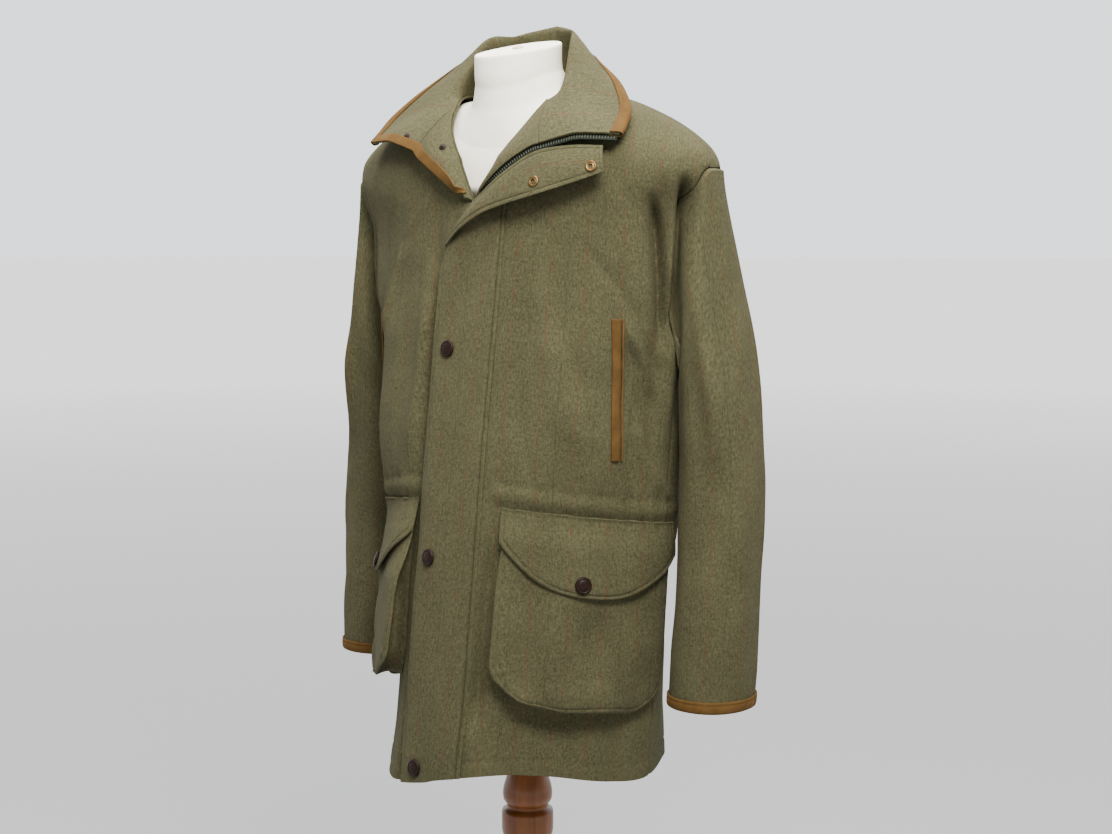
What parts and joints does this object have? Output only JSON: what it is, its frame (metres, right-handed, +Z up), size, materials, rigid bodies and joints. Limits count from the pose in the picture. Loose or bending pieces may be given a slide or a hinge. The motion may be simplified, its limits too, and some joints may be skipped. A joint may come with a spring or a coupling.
{
  "type": "tweed hunting jacket on a dress form stand",
  "caption": "Zipped tweed hunting jacket with storm flap, bellows pockets and suede trim, worn open at the neck on a limbless dress form and turned stand.",
  "frame": {"origin": "on the floor, at the centre of the round base's flat underside", "axes": "+Z up, -Y the way the jacket's front faces, +X to the wearer's left"},
  "size_m": [0.6124, 0.3803, 1.6046],
  "materials": {
    "tweed": "olive wool tweed with fine brown and green check lines",
    "suede": "tan suede, matt",
    "press_cap": "dark brown, glossy",
    "socket_brass": "aged",
    "zip": "dark green coil on woven tape",
    "form_cover": "plain off-white cotton cover",
    "turned_wood": "honey brown, satin varnish"
  },
  "bodies": {
    "root": {"front_left": "tweed", "front_right": "tweed", "back": "tweed", "sleeve_left": "tweed", "sleeve_right": "tweed", "storm_flap": "tweed", "storm_flap_top": "tweed", "facing_left": "tweed", "facing_right": "tweed", "collar": "tweed", "pocket_bag_left": "tweed", "pocket_flap_left": "tweed", "pocket_bag_right": "tweed", "pocket_flap_right": "tweed", "cuff_binding_left": "suede", "cuff_binding_right": "suede", "collar_edging": "suede", "zip_guard_right": "suede", "hand_welt_left": "suede", "hand_welt_back_left": "suede", "hand_welt_right": "suede", "hand_welt_back_right": "suede", "storm_cap_1": "press_cap", "storm_cap_2": "press_cap", "storm_cap_3": "press_cap", "pocket_cap_left": "press_cap", "pocket_cap_right": "press_cap", "stud_right_lower": "press_cap", "stud_right_upper": "press_cap", "storm_socket_lower": "socket_brass", "storm_socket_upper": "socket_brass", "zip_closed": "zip", "zip_tape_left": "zip", "dress_form": "form_cover", "neck_plug": "turned_wood", "post": "turned_wood", "base": "turned_wood"}
  },
  "joints": []
}
